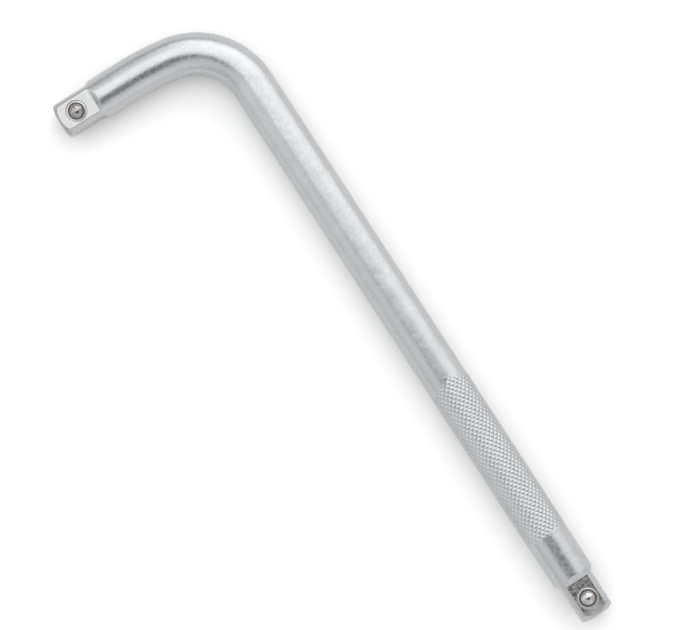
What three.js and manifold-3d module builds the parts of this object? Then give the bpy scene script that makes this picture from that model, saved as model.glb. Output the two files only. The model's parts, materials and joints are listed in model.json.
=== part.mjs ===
// L-handle for half-inch square-drive sockets: one bent round bar with a square drive at each end.
// Units are millimetres and +Z is up. The handle lies flat, with both detent balls facing up.
// The origin is the centre of the short leg's end face, on the axis that the tool turns about.
// The short leg runs along +Y to the bend. The long leg runs towards +X from there, and the bar has
// sprung back a little from the right angle that it was bent to.

import * as THREE from 'three';
import { mergeVertices } from 'three/addons/utils/BufferGeometryUtils.js';
import Module from 'manifold-3d';

// Bar and bend: the reaches run from each leg's end face to where the legs' axes cross
const BAR_DIAMETER = 16;
const BEND_RADIUS = 24.6;
const BEND_TURN = THREE.MathUtils.degToRad(89.1);
const SHORT_REACH = 67.7;
const LONG_REACH = 259;

// Square drives: the corners are what is left of the bar after a light turning
const DRIVE_ACROSS_FLATS = 12.7;
const DRIVE_LENGTH = 14.5;
const SHORT_CORNER_RELIEF = 0.04;
const LONG_CORNER_RELIEF = 0.15;
const SHORT_SHOULDER_LENGTH = 2.8;
const LONG_SHOULDER_LENGTH = 3.1;

// Turned tips: a small flat end face that rounds over to the bar's surface
const TIP_FACE_DIAMETER = 5;
const SHORT_TIP_ROUNDING = 2.6;
const LONG_TIP_ROUNDING = 3.8;

// Diamond knurl on the long leg: two crossed families of grooves
const KNURL_TO_END = 35;
const KNURL_LENGTH = 67.4;
const KNURL_STARTS = 24;
const KNURL_ANGLE = THREE.MathUtils.degToRad(42);
const KNURL_RISE = 0.12;
const KNURL_DEPTH = 0.3;

// Detents: a ball over a coil spring, in a blind bore whose mouth is staked in over the ball
const DETENT_TO_END = 7.6;
const BALL_DIAMETER = 6.35;
const BALL_RUNNING_CLEARANCE = 0.1;
const LIP_OVERHANG = 0.22;
const LIP_THICKNESS = 0.5;
const LIP_DROP = 0.12;
const LIP_CLEARANCE = 0.05;
const STAKE_WIDTH = 1.15;
const STAKE_DEPTH = 0.25;
const STAKE_FLOOR_share = 0.55;
const BORE_FLOOR = 2.2;
const DRILL_POINT_SLOPE = THREE.MathUtils.degToRad(20);

// Detent springs: their ends lie a seat gap away from the ball and from the drill point
const SPRING_OUTER_DIAMETER = 5.8;
const SPRING_WIRE_DIAMETER = 0.6;
const SPRING_MEAN_PITCH = 1.05;
const SPRING_END_CLOSING_share = 0.3;
const SEAT_GAP = 0.25;

// Cutters run past the surfaces that they cut by this much
const CUT_OVERRUN = 1;

// Facets
const BEND_STEPS = 16;
const SHOULDER_STEPS = 5;
const TIP_STEPS = 6;
const BORE_SIDES = 32;
const BALL_SIDES = 24;
const SPRING_STEPS_PER_TURN = 12;
const SPRING_SIDES = 6;
const DIAGONAL_TIE_share = 0.999;

// Sizes worked out from the ones above
const barRadius = BAR_DIAMETER / 2;
const driveHalf = DRIVE_ACROSS_FLATS / 2;
const bendSetback = BEND_RADIUS * Math.tan(BEND_TURN / 2);
const shortStraight = SHORT_REACH - bendSetback;
const longStraight = LONG_REACH - bendSetback;
const bendLength = BEND_RADIUS * BEND_TURN;
const barLength = shortStraight + bendLength + longStraight;
const longDirection = new THREE.Vector3(Math.sin(BEND_TURN), Math.cos(BEND_TURN), 0);
const longEnd = new THREE.Vector3(0, SHORT_REACH, 0).addScaledVector(longDirection, LONG_REACH);
const ringSides = 2 * KNURL_STARTS;
const knurlCrest = barRadius + KNURL_RISE;
const knurlRoot = knurlCrest - KNURL_DEPTH;

const ballRadius = BALL_DIAMETER / 2;
const boreRadius = ballRadius + BALL_RUNNING_CLEARANCE;
const lipRadius = ballRadius - LIP_OVERHANG;
const stakeRadius = lipRadius + STAKE_WIDTH;
const stakeFloorRadius = lipRadius + STAKE_WIDTH * STAKE_FLOOR_share;
const drillPointHeight = boreRadius * Math.tan(DRILL_POINT_SLOPE);
const boreDepth = DRIVE_ACROSS_FLATS - BORE_FLOOR - drillPointHeight;

// Depth of the ball's centre under the flat, where the ball all but meets the lip
const ballDepth = LIP_DROP + Math.sqrt((ballRadius + LIP_CLEARANCE) ** 2 - lipRadius ** 2);

// The spring's wire centre runs from under the ball down to the drill point's slope
const wireRadius = SPRING_WIRE_DIAMETER / 2;
const coilRadius = SPRING_OUTER_DIAMETER / 2 - wireRadius;
const ballToWire = ballRadius + SEAT_GAP + wireRadius;
const springTopDepth = ballDepth + Math.sqrt(ballToWire ** 2 - coilRadius ** 2);
const seatDepth = boreDepth + (boreRadius - coilRadius) * Math.tan(DRILL_POINT_SLOPE);
const springRun = seatDepth - SEAT_GAP - wireRadius - springTopDepth;

const wasm = await Module();
wasm.setup();

// A solid from a closed mesh, once its doubled vertices are merged and its empty triangles dropped
function toSolid(geometry) {
  const bare = geometry.clone();
  bare.deleteAttribute('normal');
  bare.deleteAttribute('uv');
  const merged = mergeVertices(bare);
  const corners = merged.getIndex().array;
  const triangles = [];
  for (let i = 0; i < corners.length; i += 3) {
    const [a, b, c] = corners.slice(i, i + 3);
    if (a !== b && b !== c && c !== a) {
      triangles.push(a, b, c);
    }
  }
  const mesh = new wasm.Mesh({
    numProp: 3,
    vertProperties: new Float32Array(merged.getAttribute('position').array),
    triVerts: new Uint32Array(triangles),
  });
  return new wasm.Manifold(mesh);
}

function toGeometry(solid) {
  const mesh = solid.getMesh();
  const geometry = new THREE.BufferGeometry();
  geometry.setAttribute('position', new THREE.BufferAttribute(mesh.vertProperties, 3));
  geometry.setIndex(new THREE.BufferAttribute(mesh.triVerts, 1));
  geometry.computeVertexNormals();
  return geometry;
}

// A closed skin over a row of rings with equally many points, each counter-clockwise as seen from
// the next ring. Each quad is split along its shorter diagonal, which keeps the grooves sharp.
function loft(rings) {
  const sides = rings[0].length;
  const points = rings.flat();
  const triangles = [];
  for (let row = 0; row + 1 < rings.length; row += 1) {
    for (let side = 0; side < sides; side += 1) {
      const next = (side + 1) % sides;
      const a = row * sides + side;
      const b = row * sides + next;
      const c = b + sides;
      const d = a + sides;
      const split = points[b].distanceTo(points[d]) < points[a].distanceTo(points[c]) * DIAGONAL_TIE_share;
      triangles.push(...(split ? [a, b, d, b, c, d] : [a, b, c, a, c, d]));
    }
  }
  const lastRow = (rings.length - 1) * sides;
  const firstCentre = points.push(ringCentre(rings[0])) - 1;
  const lastCentre = points.push(ringCentre(rings[rings.length - 1])) - 1;
  for (let side = 0; side < sides; side += 1) {
    const next = (side + 1) % sides;
    triangles.push(firstCentre, next, side);
    triangles.push(lastCentre, lastRow + side, lastRow + next);
  }
  const geometry = new THREE.BufferGeometry().setFromPoints(points);
  geometry.setIndex(triangles);
  return geometry;
}

function ringCentre(ring) {
  const centre = new THREE.Vector3();
  ring.forEach((point) => centre.addScaledVector(point, 1 / ring.length));
  return centre;
}

// A ring of the bar at a distance along its centre line from the short leg's end face.
// Angles start on the outer side of the bend and turn up through +Z.
function barRing(along, angles, radii) {
  const turn = THREE.MathUtils.clamp((along - shortStraight) / BEND_RADIUS, 0, BEND_TURN);
  const outward = new THREE.Vector3(-Math.cos(turn), Math.sin(turn), 0);
  const up = new THREE.Vector3(0, 0, 1);
  const centre = new THREE.Vector3(BEND_RADIUS, shortStraight, 0).addScaledVector(outward, BEND_RADIUS);
  centre.y += Math.min(along - shortStraight, 0);
  centre.addScaledVector(longDirection, Math.max(along - shortStraight - bendLength, 0));
  return angles.map((angle, i) => centre.clone()
    .addScaledVector(outward, radii[i] * Math.cos(angle))
    .addScaledVector(up, radii[i] * Math.sin(angle)));
}

const evenAngles = Array.from({ length: ringSides }, (_, i) => 2 * Math.PI * i / ringSides);

function roundRing(along) {
  return barRing(along, evenAngles, evenAngles.map(() => barRadius));
}

// Each leg's drive: where it starts and ends along the bar, and its own sizes
const shortDrive = {
  tipAlong: 0,
  squareAlong: DRIVE_LENGTH,
  roundAlong: DRIVE_LENGTH + SHORT_SHOULDER_LENGTH,
  cornerRadius: barRadius - SHORT_CORNER_RELIEF,
};
const longDrive = {
  tipAlong: barLength,
  squareAlong: barLength - DRIVE_LENGTH,
  roundAlong: barLength - DRIVE_LENGTH - LONG_SHOULDER_LENGTH,
  cornerRadius: barRadius - LONG_CORNER_RELIEF,
};

// A drive's section is a square cut off by the corner circle
function driveRadius(angle, cornerRadius) {
  const quarter = Math.PI / 2;
  const fromFlat = angle - quarter * Math.round(angle / quarter);
  return Math.min(driveHalf / Math.cos(fromFlat), cornerRadius);
}

// The even angles, with the nearest one moved to each place where a flat meets a corner
function driveAngles(cornerRadius) {
  const angles = [...evenAngles];
  const corner = Math.acos(Math.min(driveHalf / cornerRadius, 1));
  for (let flat = 0; flat < 4; flat += 1) {
    for (const side of [-1, 1]) {
      const angle = (flat * Math.PI / 2 + side * corner + 2 * Math.PI) % (2 * Math.PI);
      const nearest = Math.round(angle / (2 * Math.PI) * ringSides) % ringSides;
      angles[nearest] = angle;
    }
  }
  return angles;
}

// A ring part of the way from the round bar to a drive's section, by a share from 0 to 1
function shoulderRing(drive, along, share) {
  const angles = driveAngles(drive.cornerRadius);
  const blended = angles.map((angle, i) => THREE.MathUtils.lerp(evenAngles[i], angle, share));
  const radii = angles.map((angle) => (
    THREE.MathUtils.lerp(barRadius, driveRadius(angle, drive.cornerRadius), share)));
  return barRing(along, blended, radii);
}

// A drive's rings: a soft-edged ramp from the round bar to the square, then the tip
function driveRings(drive) {
  const rings = [];
  for (let step = 0; step <= SHOULDER_STEPS; step += 1) {
    const share = step / SHOULDER_STEPS;
    const along = THREE.MathUtils.lerp(drive.roundAlong, drive.squareAlong, share);
    rings.push(shoulderRing(drive, along, THREE.MathUtils.smoothstep(share, 0, 1)));
  }
  rings.push(shoulderRing(drive, drive.tipAlong, 1));
  return rings;
}

// Rows of crests and groove crossings by turns. Each crest and its four neighbours make a pyramid,
// and the grooves run diagonally from row to row at the knurl's angle.
function knurlRings(start, length) {
  const repeatAround = 2 * Math.PI * knurlCrest / KNURL_STARTS;
  const repeatAlong = repeatAround / Math.tan(KNURL_ANGLE);
  const rows = 2 * Math.round(length / repeatAlong);
  const rings = [roundRing(start)];
  for (let row = 1; row < rows; row += 1) {
    const radii = evenAngles.map((_, i) => ((i + row) % 2 === 0 ? knurlCrest : knurlRoot));
    rings.push(barRing(start + length * row / rows, evenAngles, radii));
  }
  rings.push(roundRing(start + length));
  return rings;
}

function barBlank() {
  const bendRings = Array.from({ length: BEND_STEPS + 1 },
    (_, step) => roundRing(shortStraight + bendLength * step / BEND_STEPS));
  return loft([
    ...driveRings(shortDrive).reverse(),
    ...bendRings,
    ...knurlRings(barLength - KNURL_TO_END - KNURL_LENGTH, KNURL_LENGTH),
    ...driveRings(longDrive),
  ]);
}

// The waste that turning takes off a tip, round the Y axis with the end face at zero
function tipWaste(roundingLength) {
  const faceRadius = TIP_FACE_DIAMETER / 2;
  const outerRadius = barRadius + CUT_OVERRUN;
  const profile = [];
  for (let step = 0; step <= TIP_STEPS; step += 1) {
    const angle = Math.PI / 2 * step / TIP_STEPS;
    const radius = faceRadius + (barRadius - faceRadius) * Math.sin(angle);
    profile.push(new THREE.Vector2(radius, roundingLength * (1 - Math.cos(angle))));
  }
  profile.push(new THREE.Vector2(outerRadius, roundingLength));
  profile.push(new THREE.Vector2(outerRadius, -CUT_OVERRUN));
  profile.push(new THREE.Vector2(faceRadius, -CUT_OVERRUN));
  profile.push(profile[0].clone());
  return new THREE.LatheGeometry(profile.reverse(), ringSides);
}

// The room of a detent's bore with its staked mouth, round the Z axis with the flat at zero
function detentRoom() {
  const profile = [
    [0, -boreDepth - drillPointHeight],
    [boreRadius, -boreDepth],
    [boreRadius, -LIP_DROP - LIP_THICKNESS],
    [lipRadius, -LIP_DROP],
    [stakeFloorRadius, -STAKE_DEPTH],
    [stakeRadius, 0],
    [stakeRadius, CUT_OVERRUN],
    [0, CUT_OVERRUN],
  ];
  const room = new THREE.LatheGeometry(profile.map(([r, h]) => new THREE.Vector2(r, h)), BORE_SIDES);
  return room.rotateX(Math.PI / 2);
}

// Centres of the detent mouths on the upper flats
const shortDetentPlace = new THREE.Vector3(0, DETENT_TO_END, driveHalf);
const longDetentPlace = longEnd.clone().addScaledVector(longDirection, -DETENT_TO_END).setZ(driveHalf);

function handleBar() {
  const longTip = tipWaste(LONG_TIP_ROUNDING).rotateZ(Math.PI - BEND_TURN).translate(longEnd.x, longEnd.y, 0);
  let bar = toSolid(barBlank());
  bar = bar.subtract(toSolid(tipWaste(SHORT_TIP_ROUNDING)));
  bar = bar.subtract(toSolid(longTip));
  for (const place of [shortDetentPlace, longDetentPlace]) {
    bar = bar.subtract(toSolid(detentRoom().translate(place.x, place.y, place.z)));
  }
  return toGeometry(bar);
}

function detentBall() {
  const ball = new THREE.SphereGeometry(ballRadius, BALL_SIDES, BALL_SIDES / 2);
  return toGeometry(toSolid(ball.rotateX(Math.PI / 2)));
}

// A round-wire coil on the Z axis, from zero up to the spring's run, with closer coils at its ends
function detentSpring() {
  const steps = Math.round(springRun / SPRING_MEAN_PITCH * SPRING_STEPS_PER_TURN);
  const rings = [];
  for (let step = 0; step <= steps; step += 1) {
    const share = step / steps;
    const turn = 2 * Math.PI * step / SPRING_STEPS_PER_TURN;
    const closing = SPRING_END_CLOSING_share * Math.sin(2 * Math.PI * share) / (2 * Math.PI);
    const outward = new THREE.Vector3(Math.cos(turn), Math.sin(turn), 0);
    const centre = outward.clone().multiplyScalar(coilRadius);
    centre.z = springRun * (share - closing);
    rings.push(Array.from({ length: SPRING_SIDES }, (_, side) => {
      const angle = -2 * Math.PI * side / SPRING_SIDES;
      const point = centre.clone().addScaledVector(outward, wireRadius * Math.cos(angle));
      point.z += wireRadius * Math.sin(angle);
      return point;
    }));
  }
  return toGeometry(toSolid(loft(rings)));
}

const satinChrome = new THREE.MeshStandardMaterial({ color: 0xc4c6c7, roughness: 0.38, metalness: 1 });
const polishedSteel = new THREE.MeshStandardMaterial({ color: 0xb9b6b2, roughness: 0.15, metalness: 1 });
const springSteel = new THREE.MeshStandardMaterial({ color: 0x8d8f92, roughness: 0.4, metalness: 1 });

function namedMesh(name, geometry, material) {
  const mesh = new THREE.Mesh(geometry, material);
  mesh.name = name;
  return mesh;
}

// A ball and its spring, placed at the centre of their bore's mouth
function detent(name, place) {
  const group = new THREE.Group();
  const ball = namedMesh(`${name}_ball`, detentBall(), polishedSteel);
  const spring = namedMesh(`${name}_spring`, detentSpring(), springSteel);
  ball.position.z = -ballDepth;
  spring.position.z = -springTopDepth - springRun;
  group.add(ball, spring);
  group.position.copy(place);
  return group;
}

const handle = new THREE.Group();
handle.add(namedMesh('handle_bar', handleBar(), satinChrome));
handle.add(detent('short_drive', shortDetentPlace));
handle.add(detent('long_drive', longDetentPlace));

export default handle;
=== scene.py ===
"""Looks of an L-handle for square-drive sockets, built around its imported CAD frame.

The frame gives the bar's radius, where both legs end, the places of the detent balls and the joints. On it go
a fine bar with its knurl, milled drives and staked detent mouths, polished balls, coil springs, and a plain
floor under soft light. Rings of the bar are given by their distance along its axis from the short leg's end.
"""

import json
import math

import bmesh
import bpy
import numpy as np
from mathutils import Matrix, Vector


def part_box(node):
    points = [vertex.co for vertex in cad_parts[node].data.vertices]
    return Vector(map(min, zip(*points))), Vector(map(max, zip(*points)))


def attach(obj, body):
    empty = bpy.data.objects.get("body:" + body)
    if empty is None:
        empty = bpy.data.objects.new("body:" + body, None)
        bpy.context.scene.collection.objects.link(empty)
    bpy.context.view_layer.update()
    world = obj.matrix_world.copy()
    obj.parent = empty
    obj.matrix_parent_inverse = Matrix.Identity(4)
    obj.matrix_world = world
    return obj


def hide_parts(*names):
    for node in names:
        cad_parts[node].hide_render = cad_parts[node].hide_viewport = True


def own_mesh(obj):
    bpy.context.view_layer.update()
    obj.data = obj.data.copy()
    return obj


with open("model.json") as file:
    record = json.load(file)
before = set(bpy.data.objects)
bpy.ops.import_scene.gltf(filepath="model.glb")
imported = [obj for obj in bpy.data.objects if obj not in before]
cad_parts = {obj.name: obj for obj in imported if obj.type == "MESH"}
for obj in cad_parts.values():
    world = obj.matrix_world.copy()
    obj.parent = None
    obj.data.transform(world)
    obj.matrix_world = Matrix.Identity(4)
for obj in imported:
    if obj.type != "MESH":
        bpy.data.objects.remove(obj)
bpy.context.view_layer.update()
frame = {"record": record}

MM = 0.001
# A length under this counts as none
TINY = 0.001 * MM

# Sizes and places that the frame gives. Its origin is the middle of the short leg's end
SHORT_END = Vector((0, 0, 0))
SHORT_INWARD = Vector((0, 1, 0))
bar_low, bar_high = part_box("handle_bar")
BAR_RADIUS = -bar_low.x
KNURL_CREST_RADIUS = bar_high.z
FLOOR_LEVEL = bar_low.z
long_mount = next(row for row in frame["record"]["mounts"] if row["name"] == "long_drive_end")
LONG_END = Vector(long_mount["pos_m"])
LONG_DIRECTION = Vector(long_mount["axis"]).normalized()

# Bend: the bar turns by a little less than a right angle, slowly in its lead and then tightly. The reaches
# are how far the legs' ends lie from the corner where their axes cross
LEAD_RADIUS = 110.7 * MM
LEAD_TURN = math.radians(9.2)
BEND_RADIUS = 24.9 * MM
BEND_TURN = math.atan2(LONG_DIRECTION.x, LONG_DIRECTION.y)
LONG_REACH = LONG_END.x / LONG_DIRECTION.x
SHORT_REACH = LONG_END.y - LONG_REACH * LONG_DIRECTION.y


def outward_at(turn):
    """The direction out of the bend, where the bar has turned by that angle."""
    return Vector((-math.cos(turn), math.sin(turn), 0))


def bend_sweep(lead, turn):
    """How far the bend carries the bar's axis over a turn whose slow first part is the lead."""
    return (LEAD_RADIUS * (outward_at(lead) - outward_at(0))
            + BEND_RADIUS * (outward_at(turn) - outward_at(lead)))


whole_sweep = bend_sweep(LEAD_TURN, BEND_TURN)
LEAD_START = SHORT_REACH - whole_sweep.y + whole_sweep.x / math.tan(BEND_TURN)
BEND_START = LEAD_START + LEAD_RADIUS * LEAD_TURN
BEND_END = BEND_START + BEND_RADIUS * (BEND_TURN - LEAD_TURN)
BAR_LENGTH = BEND_END + LONG_REACH - whole_sweep.x / LONG_DIRECTION.x

# Square drives: each flat ends in a chamfer that climbs to the round bar, between two depths from the tip
DRIVE_HALF = 6.35 * MM
SHORT_DRIVE = {
    "corner_radius": BAR_RADIUS - 0.04 * MM,
    "tip_rounding": 2.6 * MM,
    "chamfer": (15 * MM, 17.1 * MM),
}
LONG_DRIVE = {
    "corner_radius": BAR_RADIUS - 0.15 * MM,
    "tip_rounding": 3.8 * MM,
    "chamfer": (14.9 * MM, 17.5 * MM),
}
TIP_FACE_RADIUS = 2.5 * MM
# How wide the drives' edges are rounded over, the share of that left where the bar is round again, and the
# share of a chamfer's length that is eased at each of its ends
EDGE_BLEND = 0.12 * MM
EDGE_BLEND_LEFT = 0.01
CHAMFER_EASE = 0.15

# Knurl: two crossed families of grooves, the second one shallower. It starts in a point on the bar's upper
# side and one on its lower side, which lead the start, and from them its edge falls back, less on the bend's
# outer side than on its inner side. Its other end is cut off at a slant
KNURL_TO_END = 35 * MM
KNURL_LENGTH = 67.4 * MM
KNURL_STARTS = 24
KNURL_ANGLE = math.radians(42)
KNURL_REPEAT = 2 * math.pi * KNURL_CREST_RADIUS / KNURL_STARTS / math.tan(KNURL_ANGLE)
KNURL_DEPTH = 0.26 * MM
KNURL_SECOND_DEPTH_SHARE = 0.88
KNURL_GROOVE_SHARE = 0.33
KNURL_LEAD = 1.5 * MM
KNURL_OUTER_FALL = 2.6 * MM
KNURL_INNER_FALL = 4.6 * MM
KNURL_FALL_POWER = 0.55
KNURL_SLANT = 0.75 * MM
KNURL_START_FADE = 1.4 * MM
KNURL_END_FADE = 0.4 * MM

# Staked detent mouths, as radii round the bore's axis and depths under the flat
STAKE_RADIUS = 4.1 * MM
STAKE_DEPTH = 0.2 * MM
SHORT_LIP_CREST_RADIUS = 3.2 * MM
LONG_LIP_CREST_RADIUS = 3.36 * MM
LIP_RADIUS = 2.975 * MM
LIP_CREST_DEPTH = 0.11 * MM
LIP_ROUNDING = 0.1 * MM
LIP_FLARE_DEPTH = 0.72 * MM
BORE_RADIUS = 3.275 * MM
BORE_DEPTH = 9.3 * MM
DRILL_POINT_HEIGHT = 1.19 * MM
CUT_OVERRUN = 1 * MM

# How far in from the long leg's tip its flats are rubbed dull, and how much rougher they are at the tip
RUBBED_LENGTH = 4.8 * MM
RUBBED_DULLING = 0.33
# How far from a tip its rounding is fully dark and dark at all with painted shade, and how much of that the
# long leg shows
TIP_SHADE_FULL = 0.8 * MM
TIP_SHADE_START = 2.2 * MM
LONG_TIP_SHADE_SHARE = 0.4

# The bar's material slots after its first one, and how nearly a flat's faces lie at its height
SHORT_FLATS_SLOT, LONG_FLATS_SLOT, BORE_SLOT, KNURL_SLOT = 1, 2, 3, 4
FLAT_TOLERANCE = 0.004 * MM

# Detent springs. The facets of the CAD coil cut a little off its top and bottom
COIL_FACET_CUT = 0.03 * MM
COIL_RADIUS = 2.6 * MM
WIRE_RADIUS = 0.3 * MM
COIL_TURNS = 4.69
COIL_CLOSING_SHARE = 0.3

# Mesh fineness
RING_POINTS = 192
# A drive's ring points crowd at its edges: the share of a quarter's points that lie within each angle
CROWDED_SHARES = (0, 0.29, 0.43, 0.57, 0.71, 1)
CROWDED_DEGREES = (0, 33, 41, 49, 57, 90)
KNURL_ROWS_PER_REPEAT = 8
LEAD_RINGS = 12
BEND_RINGS = 68
TIP_RINGS = 22
FLAT_RINGS = 6
CHAMFER_RINGS = 18
MOUTH_SIDES = 112
LIP_STEPS = 6
STAKE_STEPS = 14
BALL_SIDES = 56
BALL_ROWS = 40
WIRE_SIDES = 14
COIL_STEPS_PER_TURN = 48
# How far apart the plain bar's rings are, and how far the last one stays from the long drive's chamfer
PLAIN_STEP = 2.5 * MM
PLAIN_GAP = PLAIN_STEP / 4

# Faces that meet at more than this many degrees keep their edge
BAR_SHARP_DEGREES = 32
WIRE_SHARP_DEGREES = 50
BALL_SHARP_DEGREES = 60


def mesh_object(name, points, faces, material):
    """A new object of that mesh, in the scene, with its normals pointing out."""
    mesh = bpy.data.meshes.new(name)
    mesh.from_pydata([tuple(point) for point in points], [], faces)
    mesh.materials.append(material)
    work = bmesh.new()
    work.from_mesh(mesh)
    bmesh.ops.recalc_face_normals(work, faces=work.faces)
    work.to_mesh(mesh)
    work.free()
    obj = bpy.data.objects.new(name, mesh)
    bpy.context.scene.collection.objects.link(obj)
    return obj


def apply_modifiers(obj):
    """The object's mesh as its modifiers leave it, with no modifier left."""
    graph = bpy.context.evaluated_depsgraph_get()
    final = obj.evaluated_get(graph)
    mesh = bpy.data.meshes.new_from_object(final, preserve_all_data_layers=True, depsgraph=graph)
    obj.modifiers.clear()
    obj.data = mesh


def smooth_shading(obj, sharp_degrees):
    """Smooth faces that keep an edge wherever two of them meet at more than that angle."""
    obj.data.polygons.foreach_set("use_smooth", [True] * len(obj.data.polygons))
    obj.data.set_sharp_from_angle(angle=math.radians(sharp_degrees))


# Bar rings

def smoothstep(share):
    """Zero up to zero and one from one on, eased between them."""
    share = np.clip(share, 0.0, 1.0)
    return share * share * (3 - 2 * share)


def soft_min(a, b, width):
    """The smaller of two radii, rounded over where they cross."""
    share = np.clip(0.5 + 0.5 * (b - a) / width, 0.0, 1.0)
    return b + (a - b) * share - width * share * (1 - share)


ROUND_ANGLES = np.arange(RING_POINTS) * 2 * math.pi / RING_POINTS


def drive_angles():
    """Ring angles that crowd at the drive's edges: quarter turns from one flat's middle to the next."""
    quarter = RING_POINTS // 4
    share = (np.arange(RING_POINTS) % quarter) / quarter
    degrees = np.interp(share, CROWDED_SHARES, CROWDED_DEGREES)
    return np.radians(degrees + 90 * (np.arange(RING_POINTS) // quarter))


DRIVE_ANGLES = drive_angles()


def drive_radii(angles, half, corner_radius, blend=EDGE_BLEND):
    """A drive's section: a square of that half width, whose corners are turned down to a circle."""
    from_flat = (angles + math.pi / 4) % (math.pi / 2) - math.pi / 4
    return soft_min(half / np.cos(from_flat), corner_radius, blend)


def eased_ramp(share):
    """A straight ramp from zero to one whose two ends are rounded over."""
    rise = min(share, 1 - share)
    height = rise ** 2 / (2 * CHAMFER_EASE) if rise < CHAMFER_EASE else rise - CHAMFER_EASE / 2
    height /= 1 - CHAMFER_EASE
    return height if share < 0.5 else 1 - height


def knurl_radii(angles, along):
    """Radii of one ring in the knurl: flat-topped diamonds between crossed V grooves."""
    around = angles * KNURL_STARTS / (2 * math.pi)
    groove = np.zeros_like(angles)
    for phase, depth_share in (
        (around + along / KNURL_REPEAT, 1),
        (around - along / KNURL_REPEAT, KNURL_SECOND_DEPTH_SHARE),
    ):
        to_groove = np.abs((phase + 0.5) % 1.0 - 0.5)
        groove = np.maximum(groove, depth_share * (1 - to_groove / KNURL_GROOVE_SHARE))
    carved = KNURL_CREST_RADIUS - KNURL_DEPTH * groove
    outward = np.cos(angles)
    fall = np.where(outward > 0, KNURL_OUTER_FALL, KNURL_INNER_FALL)
    start = fall * np.abs(outward) ** KNURL_FALL_POWER - KNURL_LEAD
    end = KNURL_LENGTH - KNURL_SLANT * outward
    begun = smoothstep((along - start) / KNURL_START_FADE)
    going = smoothstep((end - along) / KNURL_END_FADE)
    return BAR_RADIUS + (carved - BAR_RADIUS) * begun * going


def centreline(along):
    """Point and outward direction on the bar's axis, at that distance from the short leg's end."""
    lead = min(max((along - LEAD_START) / LEAD_RADIUS, 0), LEAD_TURN)
    turn = lead + min(max((along - BEND_START) / BEND_RADIUS, 0), BEND_TURN - LEAD_TURN)
    point = Vector((0, min(along, LEAD_START), 0)) + bend_sweep(lead, turn)
    return point + LONG_DIRECTION * max(along - BEND_END, 0), outward_at(turn)


def end_rings(corner_radius, tip_rounding, chamfer):
    """Depth from the tip, angles and radii of the rings of one drive, from its tip to the round bar."""
    rings = []
    flat_radii = drive_radii(DRIVE_ANGLES, DRIVE_HALF, corner_radius)
    for turn in np.linspace(0, math.pi / 2, TIP_RINGS):
        envelope = TIP_FACE_RADIUS + (BAR_RADIUS - TIP_FACE_RADIUS) * math.sin(turn)
        radii = soft_min(flat_radii, envelope, EDGE_BLEND) if turn > 0 else np.full(RING_POINTS, envelope)
        rings.append((tip_rounding * (1 - math.cos(turn)), DRIVE_ANGLES, radii))
    for depth in np.linspace(tip_rounding, chamfer[0], FLAT_RINGS + 2)[1:-1]:
        rings.append((depth, DRIVE_ANGLES, flat_radii))
    for share in np.linspace(0, 1, CHAMFER_RINGS):
        climb = eased_ramp(share)
        angles = DRIVE_ANGLES + (ROUND_ANGLES - DRIVE_ANGLES) * share
        half = DRIVE_HALF + (BAR_RADIUS - DRIVE_HALF) * climb
        circle = corner_radius + (BAR_RADIUS - corner_radius) * climb
        radii = drive_radii(angles, half, circle, EDGE_BLEND * (1 + EDGE_BLEND_LEFT - climb))
        rings.append((chamfer[0] + (chamfer[1] - chamfer[0]) * share, angles, radii))
    return rings


def bar_stations():
    """Every ring of the bar: distance along it, angles and radii."""
    round_radii = np.full(RING_POINTS, BAR_RADIUS)
    knurl_end = BAR_LENGTH - KNURL_TO_END
    knurl_start = knurl_end - KNURL_LENGTH
    long_rings = end_rings(**LONG_DRIVE)
    stations = end_rings(**SHORT_DRIVE)

    def plain(start, end, count=None):
        """Adds rings of the round bar after the start, up to the end."""
        count = count or max(2, round((end - start) / PLAIN_STEP))
        for along in np.linspace(start, end, count + 1)[1:]:
            stations.append((along, ROUND_ANGLES, round_radii))

    plain(stations[-1][0], LEAD_START)
    plain(LEAD_START, BEND_START, LEAD_RINGS)
    plain(BEND_START, BEND_END, BEND_RINGS)
    row = KNURL_REPEAT / KNURL_ROWS_PER_REPEAT
    plain(BEND_END, knurl_start - KNURL_LEAD - row)
    plain(stations[-1][0], stations[-1][0] + row, 1)
    for along in np.arange(row - KNURL_LEAD, KNURL_LENGTH + KNURL_SLANT, row):
        stations.append((knurl_start + along, ROUND_ANGLES, knurl_radii(ROUND_ANGLES, along)))
    plain(stations[-1][0], stations[-1][0] + row, 1)
    plain(stations[-1][0], BAR_LENGTH - long_rings[-1][0] - PLAIN_GAP)
    for depth, angles, radii in reversed(long_rings):
        stations.append((BAR_LENGTH - depth, angles, radii))
    return stations


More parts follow.
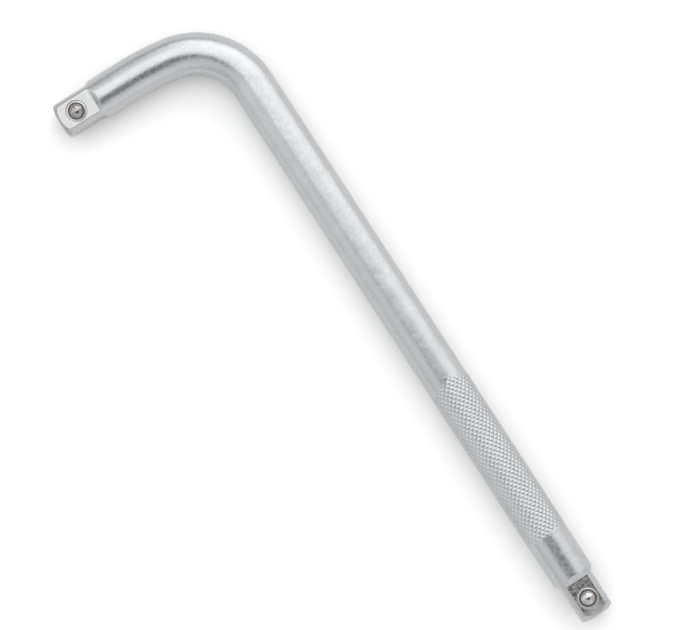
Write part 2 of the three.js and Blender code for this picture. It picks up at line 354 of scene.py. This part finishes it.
def bar_mesh(name, materials):
    """The bar as one closed mesh of rings, with a point at the middle of each tip."""
    stations = bar_stations()
    points = np.empty((len(stations), RING_POINTS, 3))
    for ring, (along, angles, radii) in enumerate(stations):
        centre, outward = centreline(along)
        points[ring] = (np.array(centre)
                        + (radii * np.cos(angles))[:, None] * np.array(outward)
                        + (radii * np.sin(angles))[:, None] * np.array((0, 0, 1)))
    ring_radii = np.array([radii for _, _, radii in stations])
    faces = []
    for ring in range(len(stations) - 1):
        for side in range(RING_POINTS):
            after = (side + 1) % RING_POINTS
            near, far = ring * RING_POINTS, (ring + 1) * RING_POINTS
            a, b, c, d = near + side, near + after, far + after, far + side
            first = ring_radii[ring, side] + ring_radii[ring + 1, after]
            second = ring_radii[ring, after] + ring_radii[ring + 1, side]
            if abs(first - second) < TINY:
                faces.append((a, b, c, d))
            elif first < second:
                faces += [(a, b, c), (a, c, d)]
            else:
                faces += [(a, b, d), (b, c, d)]
    flat = points.reshape(-1, 3)
    for middle, start in ((len(flat), 0), (len(flat) + 1, len(flat) - RING_POINTS)):
        for side in range(RING_POINTS):
            faces.append((middle, start + side, start + (side + 1) % RING_POINTS))
    obj = mesh_object(name, [*flat, SHORT_END, LONG_END], faces, materials[0])
    for material in materials[1:]:
        obj.data.materials.append(material)
    return obj


# Turned forms

def lathe(name, profile, material, sides):
    """A closed turned form round +Z: the profile is radii and heights, from the axis back to the axis."""
    points, faces = [], []
    rows = []
    for radius, height in profile:
        if radius < TINY:
            rows.append([len(points)] * sides)
            points.append((0, 0, height))
            continue
        rows.append(list(range(len(points), len(points) + sides)))
        for side in range(sides):
            turn = 2 * math.pi * side / sides
            points.append((radius * math.cos(turn), radius * math.sin(turn), height))
    for low, high in zip(rows, rows[1:]):
        for side in range(sides):
            after = (side + 1) % sides
            corners = (low[side], low[after], high[after], high[side])
            faces.append(tuple(dict.fromkeys(corners)))
    return mesh_object(name, points, faces, material)


def mouth_profile(lip_crest_radius):
    """What a detent mouth takes out of the flat, from the drill point up to above the flat."""
    profile = [
        (0, -BORE_DEPTH - DRILL_POINT_HEIGHT),
        (BORE_RADIUS, -BORE_DEPTH),
        (BORE_RADIUS, -LIP_FLARE_DEPTH),
    ]
    for turn in np.linspace(0, math.pi / 2, LIP_STEPS + 1):
        radius = lip_crest_radius - (lip_crest_radius - LIP_RADIUS) * math.cos(turn)
        depth = LIP_CREST_DEPTH + LIP_ROUNDING * (1 - math.sin(turn))
        profile.append((radius, -depth))
    for share in np.linspace(0, 1, STAKE_STEPS + 1)[1:]:
        radius = lip_crest_radius + (STAKE_RADIUS - lip_crest_radius) * share
        depth = LIP_CREST_DEPTH * (1 - share) + STAKE_DEPTH * math.sin(math.pi * share) ** 2
        profile.append((radius, -depth))
    return profile + [(STAKE_RADIUS, CUT_OVERRUN), (0, CUT_OVERRUN)]


def cut_mouth(bar, place, lip_crest_radius):
    """Cuts a detent's bore and staked mouth at that place, dark from the lip's crest inwards."""
    cutter = lathe("mouth_cutter", mouth_profile(lip_crest_radius), bar.data.materials[0], MOUTH_SIDES)
    for material in list(bar.data.materials)[1:]:
        cutter.data.materials.append(material)
    for polygon in cutter.data.polygons:
        if Vector(polygon.center).xy.length < lip_crest_radius:
            polygon.material_index = BORE_SLOT
    cutter.location = place
    cut = bar.modifiers.new("mouth", "BOOLEAN")
    cut.operation = "DIFFERENCE"
    cut.solver = "EXACT"
    cut.object = cutter
    apply_modifiers(bar)
    bpy.data.objects.remove(cutter)


def mill_flats(bar, drive, tip, inward, slot):
    """Gives the flats of the drive at that tip their slot, and leaves them flat shaded."""
    for polygon in bar.data.polygons:
        offset = Vector(polygon.center) - tip
        along = offset.dot(inward)
        height = (offset - along * inward).dot(polygon.normal)
        if 0 < along < drive["chamfer"][0] and abs(height - DRIVE_HALF) < FLAT_TOLERANCE:
            polygon.material_index = slot
            polygon.use_smooth = False


def roughen_knurl(bar):
    """Gives the knurl's faces their slot."""
    end = LONG_END.dot(LONG_DIRECTION) - KNURL_TO_END
    for polygon in bar.data.polygons:
        if end - KNURL_LENGTH < Vector(polygon.center).dot(LONG_DIRECTION) < end + KNURL_SLANT:
            polygon.material_index = KNURL_SLOT


def ball_seat(node):
    """Centre and radius of a detent ball, from its CAD box."""
    low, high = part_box(node)
    return (low + high) / 2, (high.z - low.z) / 2


def detent_ball(node, body, material):
    """A fine ball in the place of the CAD one, moving with its body."""
    centre, radius = ball_seat(node)
    turns = np.linspace(0, math.pi, BALL_ROWS)
    profile = [(radius * math.sin(turn), -radius * math.cos(turn)) for turn in turns]
    ball = lathe(node + "_polished", profile, material, BALL_SIDES)
    ball.data.transform(Matrix.Translation(centre))
    smooth_shading(ball, BALL_SHARP_DEGREES)
    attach(ball, body)
    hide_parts(node)


def detent_spring(node, material):
    """A fine coil in the place of the CAD one."""
    low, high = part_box(node)
    bottom = low.z - COIL_FACET_CUT
    top = high.z + COIL_FACET_CUT
    axis = (low + high) / 2
    run = top - bottom - 2 * WIRE_RADIUS
    steps = round(COIL_TURNS * COIL_STEPS_PER_TURN)
    points, faces = [], []
    for step in range(steps + 1):
        share = step / steps
        turn = 2 * math.pi * step / COIL_STEPS_PER_TURN
        closing = COIL_CLOSING_SHARE * math.sin(2 * math.pi * share) / (2 * math.pi)
        outward = Vector((math.cos(turn), math.sin(turn), 0))
        height = bottom + WIRE_RADIUS + run * (share - closing)
        centre = Vector((axis.x, axis.y, height)) + COIL_RADIUS * outward
        for side in range(WIRE_SIDES):
            angle = 2 * math.pi * side / WIRE_SIDES
            around = math.cos(angle) * outward + math.sin(angle) * Vector((0, 0, 1))
            points.append(centre + WIRE_RADIUS * around)
    for step in range(steps):
        for side in range(WIRE_SIDES):
            after = (side + 1) % WIRE_SIDES
            near, far = step * WIRE_SIDES, (step + 1) * WIRE_SIDES
            faces.append((near + side, near + after, far + after, far + side))
    faces.append(tuple(range(WIRE_SIDES)))
    faces.append(tuple(range(steps * WIRE_SIDES, (steps + 1) * WIRE_SIDES)))
    spring = mesh_object(node + "_wire", points, faces, material)
    smooth_shading(spring, WIRE_SHARP_DEGREES)
    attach(spring, "handle")
    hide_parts(node)
    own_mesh(spring)


# Materials

# Size of each finish's noises, and the depth of the bumps that they make
GRAIN_SIZE, GRAIN_DEPTH = 1.1 * MM, 0.006 * MM
DAPPLE_SIZE, DAPPLE_DEPTH = 2 * MM, 0.016 * MM
CLOUD_SIZE, CLOUD_DEPTH = 7 * MM, 0.1 * MM
MARKS_SIZE, MARKS_DEPTH = 0.5 * MM, 0.007 * MM
MOTTLE_SIZE, MOTTLE_DEPTH = 1.3 * MM, 0.03 * MM
SPECK_SIZE = 0.55 * MM
FILM_SIZE, FILM_DEPTH = 0.6 * MM, 0.004 * MM
BALL_WEAR_SIZE, BALL_WEAR_DEPTH = 0.8 * MM, 0.002 * MM
DRAWING_SIZE, DRAWING_DEPTH = 0.3 * MM, 0.003 * MM
# Each finish's darkest and lightest tone
CHROME_TONES = (0.445, 0.448, 0.456), (0.475, 0.477, 0.483)
# The tips' tones are painted shade, for the shadowed floor that the roundings reflect
TIP_SHADE_TONES = (0.25, 0.245, 0.24), (0.31, 0.305, 0.3)
MILLED_TONES = (0.38, 0.38, 0.382), (0.47, 0.47, 0.472)
# The bore's tones hold painted shade, for the gap round each ball
BORE_TONES = (0.13, 0.124, 0.118), (0.25, 0.238, 0.226)
WIRE_TONES = (0.20, 0.20, 0.21), (0.30, 0.30, 0.31)
BALL_TONES = {
    "short": ((0.28, 0.27, 0.258), (0.34, 0.327, 0.315)),
    "long": ((0.4, 0.393, 0.385), (0.46, 0.453, 0.445)),
}
FLOOR_TONE = (0.86, 0.86, 0.86, 1)
# Each finish's least and greatest roughness
PLAIN_ROUGHNESS = 0.26, 0.34
KNURL_ROUGHNESS = 0.35, 0.41
MILLED_ROUGHNESS = 0.16, 0.3
BORE_ROUGHNESS = 0.35, 0.5
WIRE_ROUGHNESS = 0.3, 0.45
BALL_ROUGHNESS = 0.05, 0.11
FLOOR_ROUGHNESS = 0.9
# Marks are drawn out across each leg and round the wire, and worn specks roughen the flats by up to this much
SHORT_MARKS_STRETCH = (0.12, 1, 1)
LONG_MARKS_STRETCH = (1, 0.12, 1)
DRAWING_STRETCH = (1, 1, 3)
SHORT_SPECK_WEAR = 0.05
LONG_SPECK_WEAR = 0.14
# Between which values most of a noise lies, and between which it turns into a worn speck
NOISE_LOW, NOISE_HIGH = 0.3, 0.7
SPECK_LOW, SPECK_HIGH = 0.52, 0.66
# A Mix node's sockets for colours: both inputs, and the result
MIX_FIRST, MIX_SECOND, MIX_RESULT = 6, 7, 2


def new_material(name):
    """A metal material, with its node tree and its shader."""
    material = bpy.data.materials.new(name)
    material.use_nodes = True
    tree = material.node_tree
    shader = next(node for node in tree.nodes if node.type == "BSDF_PRINCIPLED")
    shader.inputs["Metallic"].default_value = 1.0
    return material, tree, shader


def math_node(tree, operation, first, second):
    """A Math node over two values, which are sockets or numbers."""
    node = tree.nodes.new("ShaderNodeMath")
    node.operation = operation
    for socket, value in zip(node.inputs, (first, second)):
        if isinstance(value, bpy.types.NodeSocket):
            tree.links.new(value, socket)
        else:
            socket.default_value = value
    return node.outputs["Value"]


def noise(tree, size, detail=2.0, stretch=(1, 1, 1)):
    """A noise texture in object space, whose features have that size in metres."""
    place = tree.nodes.new("ShaderNodeTexCoord")
    scale = tree.nodes.new("ShaderNodeMapping")
    scale.inputs["Scale"].default_value = [factor / size for factor in stretch]
    texture = tree.nodes.new("ShaderNodeTexNoise")
    texture.inputs["Scale"].default_value = 1.0
    texture.inputs["Detail"].default_value = detail
    tree.links.new(place.outputs["Object"], scale.inputs["Vector"])
    tree.links.new(scale.outputs["Vector"], texture.inputs["Vector"])
    return texture.outputs["Fac"]


def object_place(tree):
    """The place on the object, as X, Y and Z in metres."""
    parts = tree.nodes.new("ShaderNodeSeparateXYZ")
    tree.links.new(tree.nodes.new("ShaderNodeTexCoord").outputs["Object"], parts.inputs["Vector"])
    return parts.outputs


def spread(tree, value, low, high, from_low=NOISE_LOW, from_high=NOISE_HIGH):
    """From low to high, as the value goes from from_low to from_high, and level beyond them."""
    node = tree.nodes.new("ShaderNodeMapRange")
    node.inputs["From Min"].default_value = from_low
    node.inputs["From Max"].default_value = from_high
    node.inputs["To Min"].default_value = low
    node.inputs["To Max"].default_value = high
    tree.links.new(value, node.inputs["Value"])
    return node.outputs["Result"]


def tones(tree, value, dark, light):
    """A colour from dark to light, by a noise value."""
    ramp = tree.nodes.new("ShaderNodeValToRGB")
    ramp.color_ramp.elements[0].position = NOISE_LOW
    ramp.color_ramp.elements[0].color = (*dark, 1)
    ramp.color_ramp.elements[1].position = NOISE_HIGH
    ramp.color_ramp.elements[1].color = (*light, 1)
    tree.links.new(value, ramp.inputs["Fac"])
    return ramp.outputs["Color"]


def bumps(tree, shader, *layers):
    """Bump from several height fields, each with its depth in metres."""
    normal = None
    for value, depth in layers:
        bump = tree.nodes.new("ShaderNodeBump")
        bump.inputs["Strength"].default_value = 1.0
        bump.inputs["Distance"].default_value = depth
        tree.links.new(value, bump.inputs["Height"])
        if normal is not None:
            tree.links.new(normal, bump.inputs["Normal"])
        normal = bump.outputs["Normal"]
    tree.links.new(normal, shader.inputs["Normal"])


def painted_tip_shade(tree, clean, shade_colour):
    """The clean colour, turning into painted shade on both tips' roundings, which stands in for the shadowed
    floor that they reflect.
    """
    place = object_place(tree)
    short_shade = spread(tree, place["Y"], 1, 0, TIP_SHADE_FULL, TIP_SHADE_START)
    far, near = LONG_END.x - TIP_SHADE_START, LONG_END.x - TIP_SHADE_FULL
    long_shade = spread(tree, place["X"], 0, LONG_TIP_SHADE_SHARE, far, near)
    mix = tree.nodes.new("ShaderNodeMix")
    mix.data_type = "RGBA"
    tree.links.new(math_node(tree, "ADD", short_shade, long_shade), mix.inputs["Factor"])
    tree.links.new(clean, mix.inputs[MIX_FIRST])
    tree.links.new(shade_colour, mix.inputs[MIX_SECOND])
    return mix.outputs[MIX_RESULT]


def satin_chrome(name, roughness):
    """Satin chrome over a blasted bar: a soft grain, the faint waves of a drawn bar, and painted shade on the
    tips' roundings.
    """
    material, tree, shader = new_material(name)
    grain = noise(tree, GRAIN_SIZE, detail=0)
    dapple = noise(tree, DAPPLE_SIZE, detail=1)
    cloud = noise(tree, CLOUD_SIZE, detail=2)
    # The tips' roundings turn to painted shade
    colour = painted_tip_shade(tree, tones(tree, cloud, *CHROME_TONES), tones(tree, dapple, *TIP_SHADE_TONES))
    tree.links.new(colour, shader.inputs["Base Color"])
    tree.links.new(spread(tree, grain, *roughness), shader.inputs["Roughness"])
    bumps(tree, shader, (grain, GRAIN_DEPTH), (dapple, DAPPLE_DEPTH), (cloud, CLOUD_DEPTH))
    return material


def milled_chrome(name, stretch, wear):
    """A drive's flats: chrome over milling marks, dulled in worn specks and rubbed towards the long tip."""
    material, tree, shader = new_material(name)
    marks = noise(tree, MARKS_SIZE, detail=2, stretch=stretch)
    mottle = noise(tree, MOTTLE_SIZE, detail=3)
    specks = spread(tree, noise(tree, SPECK_SIZE, detail=1), 0, wear, SPECK_LOW, SPECK_HIGH)
    tree.links.new(tones(tree, mottle, *MILLED_TONES), shader.inputs["Base Color"])
    polish = spread(tree, mottle, *MILLED_ROUGHNESS)
    along = object_place(tree)["X"]
    rubbed = spread(tree, along, 0, RUBBED_DULLING, LONG_END.x - RUBBED_LENGTH, LONG_END.x)
    rough = math_node(tree, "ADD", math_node(tree, "ADD", polish, specks), rubbed)
    tree.links.new(rough, shader.inputs["Roughness"])
    bumps(tree, shader, (marks, MARKS_DEPTH), (mottle, MOTTLE_DEPTH))
    return material


def bore_steel():
    """The bores and the inner sides of their lips: bare steel, with painted shade for the gap round each ball
    in its dark tone.
    """
    material, tree, shader = new_material("bore_steel")
    film = noise(tree, FILM_SIZE, detail=2)
    tree.links.new(tones(tree, film, *BORE_TONES), shader.inputs["Base Color"])
    tree.links.new(spread(tree, film, *BORE_ROUGHNESS), shader.inputs["Roughness"])
    bumps(tree, shader, (film, FILM_DEPTH))
    return material


def ball_steel(leg):
    """The polished bearing ball of that leg, with faint wear from sockets."""
    material, tree, shader = new_material("ball_steel_" + leg)
    wear = noise(tree, BALL_WEAR_SIZE, detail=3)
    tree.links.new(tones(tree, wear, *BALL_TONES[leg]), shader.inputs["Base Color"])
    tree.links.new(spread(tree, wear, *BALL_ROUGHNESS), shader.inputs["Roughness"])
    bumps(tree, shader, (wear, BALL_WEAR_DEPTH))
    return material


def spring_wire():
    """Drawn spring wire under a film of oil."""
    material, tree, shader = new_material("spring_wire")
    drawing = noise(tree, DRAWING_SIZE, detail=2, stretch=DRAWING_STRETCH)
    tree.links.new(tones(tree, drawing, *WIRE_TONES), shader.inputs["Base Color"])
    tree.links.new(spread(tree, drawing, *WIRE_ROUGHNESS), shader.inputs["Roughness"])
    bumps(tree, shader, (drawing, DRAWING_DEPTH))
    return material


# Stage

FLOOR_HALF = 4.0


def floor_material():
    """A matt pale floor."""
    material = bpy.data.materials.new("pale_floor")
    material.use_nodes = True
    shader = next(node for node in material.node_tree.nodes if node.type == "BSDF_PRINCIPLED")
    shader.inputs["Base Color"].default_value = FLOOR_TONE
    shader.inputs["Roughness"].default_value = FLOOR_ROUGHNESS
    shader.inputs["Specular IOR Level"].default_value = 0.0
    return material


def sheet(name, low, high, height, material):
    """A level rectangle between two corners, at that height."""
    corners = ((low.x, low.y), (high.x, low.y), (high.x, high.y), (low.x, high.y))
    return mesh_object(name, [(x, y, height) for x, y in corners], [(0, 1, 2, 3)], material)


def floor():
    """A plain pale floor under the bar."""
    corner = Vector((FLOOR_HALF, FLOOR_HALF))
    obj = sheet("floor", -corner, corner, FLOOR_LEVEL, floor_material())


# Light: an even dome with soft-edged patches, one soft box overhead, and a dark card that reflections show
DOME_LEVEL = 1.06
HORIZON_CHANGE = -0.33
HORIZON_TOP = math.radians(35)
# Directions lower than this are taken as this high, so that every slope has a number
LEAST_HEIGHT = 0.01
# Each patch: its name, its change of level, and its four edges with their softness, in degrees of tilt. The
# first two edges are towards +X and the last two towards +Y
DOME_PATCHES = (
    ("long_window", 1.1, (-69, 10), (-3, 2), (17.5, 14), (81.5, 8)),
    ("left_window", 0.6, (-60, 5), (-17, 8), (-82, 6), (-22, 6)),
    ("left_wall", -0.28, (-89.5, 0.3), (-66, 10), (-70, 15), (70, 15)),
    ("right_wall", 0.35, (60, 5), (89, 0.5), (-60, 15), (60, 15)),
)
SOFT_BOX_HEIGHT = 1.366
SOFT_BOX_LOW = Vector((-1.23, -0.4))
SOFT_BOX_HIGH = Vector((0.11, 0.535))
SOFT_BOX_LEVEL = 0.79
CARD_HEIGHT = 1.38
CARD_LOW = Vector((0.105, -0.78))
CARD_HIGH = Vector((1.08, 0.63))
# The card lacks its corner past this place towards +X and -Y
CARD_NOTCH = Vector((0.45, -0.27))
CARD_FEATHER = 0.1
CARD_LEVEL = 0.17


def edge(tree, value, place, softness, outside, inside):
    """A step that eases from outside to inside over the softness, as the value passes that place."""
    node = tree.nodes.new("ShaderNodeMapRange")
    node.interpolation_type = "SMOOTHSTEP"
    node.inputs["From Min"].default_value = place - softness
    node.inputs["From Max"].default_value = place + softness
    node.inputs["To Min"].default_value = outside
    node.inputs["To Max"].default_value = inside
    tree.links.new(value, node.inputs["Value"])
    return node.outputs["Result"]


def window(tree, x, y, x_low, x_high, y_low, y_high):
    """One inside a soft-edged rectangle and zero outside: each edge is its place and its softness."""
    inside = math_node(tree, "MULTIPLY", edge(tree, x, *x_low, 0, 1), edge(tree, x, *x_high, 1, 0))
    inside = math_node(tree, "MULTIPLY", inside, edge(tree, y, *y_low, 0, 1))
    return math_node(tree, "MULTIPLY", inside, edge(tree, y, *y_high, 1, 0))


def slope_edge(degrees, softness):
    """A dome patch's edge and its softness, from degrees of tilt to slopes."""
    low, high = (math.tan(math.radians(degrees + side * softness)) for side in (-1, 1))
    return (low + high) / 2, (high - low) / 2


def dome():
    """World light by direction: an even level, changed inside each patch."""
    world = bpy.data.worlds.new("studio")
    bpy.context.scene.world = world
    world.use_nodes = True
    tree = world.node_tree
    background = next(node for node in tree.nodes if node.type == "BACKGROUND")
    parts = tree.nodes.new("ShaderNodeSeparateXYZ")
    tree.links.new(tree.nodes.new("ShaderNodeTexCoord").outputs["Generated"], parts.inputs["Vector"])
    height = math_node(tree, "MAXIMUM", parts.outputs["Z"], LEAST_HEIGHT)
    slope_x = math_node(tree, "DIVIDE", parts.outputs["X"], height)
    slope_y = math_node(tree, "DIVIDE", parts.outputs["Y"], height)
    middle = math.sin(HORIZON_TOP) / 2
    low = edge(tree, parts.outputs["Z"], middle, middle, 1, 0)
    level = math_node(tree, "ADD", math_node(tree, "MULTIPLY", low, HORIZON_CHANGE), DOME_LEVEL)
    for _, change, *edges in DOME_PATCHES:
        inside = window(tree, slope_x, slope_y, *(slope_edge(*place) for place in edges))
        level = math_node(tree, "ADD", math_node(tree, "MULTIPLY", inside, change), level)
    tree.links.new(level, background.inputs["Color"])


def soft_box():
    """An area lamp overhead, facing down, whose radiance is the level."""
    lamp = bpy.data.lights.new("soft_box", "AREA")
    lamp.shape = "RECTANGLE"
    size = SOFT_BOX_HIGH - SOFT_BOX_LOW
    lamp.size, lamp.size_y = size
    lamp.energy = SOFT_BOX_LEVEL * math.pi * size.x * size.y
    obj = bpy.data.objects.new("soft_box", lamp)
    bpy.context.scene.collection.objects.link(obj)
    obj.location = (*((SOFT_BOX_LOW + SOFT_BOX_HIGH) / 2), SOFT_BOX_HEIGHT)


def dark_card():
    """A soft-edged dark card beside the camera, without one corner: it dims reflections, not the floor."""
    material = bpy.data.materials.new("dark_card")
    material.use_nodes = True
    tree = material.node_tree
    tree.nodes.clear()
    across = object_place(tree)
    edges = [(place, CARD_FEATHER) for place in (CARD_LOW.x, CARD_HIGH.x, CARD_LOW.y, CARD_HIGH.y)]
    glow = tree.nodes.new("ShaderNodeEmission")
    glow.inputs["Strength"].default_value = CARD_LEVEL
    mix = tree.nodes.new("ShaderNodeMixShader")
    beside = edge(tree, across["X"], CARD_NOTCH.x, CARD_FEATHER, 1, 0)
    above = edge(tree, across["Y"], CARD_NOTCH.y, CARD_FEATHER, 0, 1)
    kept = math_node(tree, "MAXIMUM", beside, above)
    shape = math_node(tree, "MULTIPLY", window(tree, across["X"], across["Y"], *edges), kept)
    share, outside, inside = mix.inputs
    tree.links.new(shape, share)
    tree.links.new(tree.nodes.new("ShaderNodeBsdfTransparent").outputs["BSDF"], outside)
    tree.links.new(glow.outputs["Emission"], inside)
    output = tree.nodes.new("ShaderNodeOutputMaterial")
    tree.links.new(mix.outputs["Shader"], output.inputs["Surface"])
    feather = Vector((CARD_FEATHER, CARD_FEATHER))
    card = sheet("dark_card", CARD_LOW - feather, CARD_HIGH + feather, CARD_HEIGHT, material)
    card.visible_camera = False
    card.visible_diffuse = False
    card.visible_shadow = False


# Camera: above the floor, looking down on the bar
CAMERA_PLACE = Vector((0.17739, 0.03148, 1.36617))
CAMERA_AIM = Vector((0.1151255, 0.0499646, 0))
CAMERA_TURN = math.radians(57.88311)
CAMERA_LENS = 196.2954
SENSOR_WIDTH = 36
VIEW_DEPTH = 100


def camera():
    """The camera that the photograph was taken from. Its turn is from +X to the picture's right side."""
    data = bpy.data.cameras.new("camera")
    data.sensor_fit = "HORIZONTAL"
    data.sensor_width = SENSOR_WIDTH
    data.lens = CAMERA_LENS
    data.clip_end = VIEW_DEPTH
    obj = bpy.data.objects.new("camera", data)
    bpy.context.scene.collection.objects.link(obj)
    back = (CAMERA_PLACE - CAMERA_AIM).normalized()
    right = Vector((math.cos(CAMERA_TURN), math.sin(CAMERA_TURN), 0))
    right = (right - back * right.dot(back)).normalized()
    up = back.cross(right)
    obj.matrix_world = Matrix.Translation(CAMERA_PLACE) @ Matrix((right, up, back)).transposed().to_4x4()
    bpy.context.scene.camera = obj


def handle_bar():
    """The fine bar, with both detent mouths cut, in the place of the CAD bar."""
    short_flats = milled_chrome("milled_chrome_short", SHORT_MARKS_STRETCH, SHORT_SPECK_WEAR)
    long_flats = milled_chrome("milled_chrome_long", LONG_MARKS_STRETCH, LONG_SPECK_WEAR)
    plain = satin_chrome("satin_chrome", PLAIN_ROUGHNESS)
    knurl = satin_chrome("knurled_chrome", KNURL_ROUGHNESS)
    bar = bar_mesh("handle_bar_chromed", [plain, short_flats, long_flats, bore_steel(), knurl])
    for node, lip_crest_radius in (
        ("short_drive_ball", SHORT_LIP_CREST_RADIUS),
        ("long_drive_ball", LONG_LIP_CREST_RADIUS),
    ):
        centre, _ = ball_seat(node)
        cut_mouth(bar, Vector((centre.x, centre.y, DRIVE_HALF)), lip_crest_radius)
    smooth_shading(bar, BAR_SHARP_DEGREES)
    mill_flats(bar, SHORT_DRIVE, SHORT_END, SHORT_INWARD, SHORT_FLATS_SLOT)
    mill_flats(bar, LONG_DRIVE, LONG_END, -LONG_DIRECTION, LONG_FLATS_SLOT)
    roughen_knurl(bar)
    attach(bar, "handle")
    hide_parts("handle_bar")


camera()
handle_bar()
wire = spring_wire()
for leg in ("short", "long"):
    detent_ball(leg + "_drive_ball", leg + "_ball", ball_steel(leg))
    detent_spring(leg + "_drive_spring", wire)
floor()
dome()
soft_box()
dark_card()

bpy.context.scene.view_settings.view_transform = "Standard"
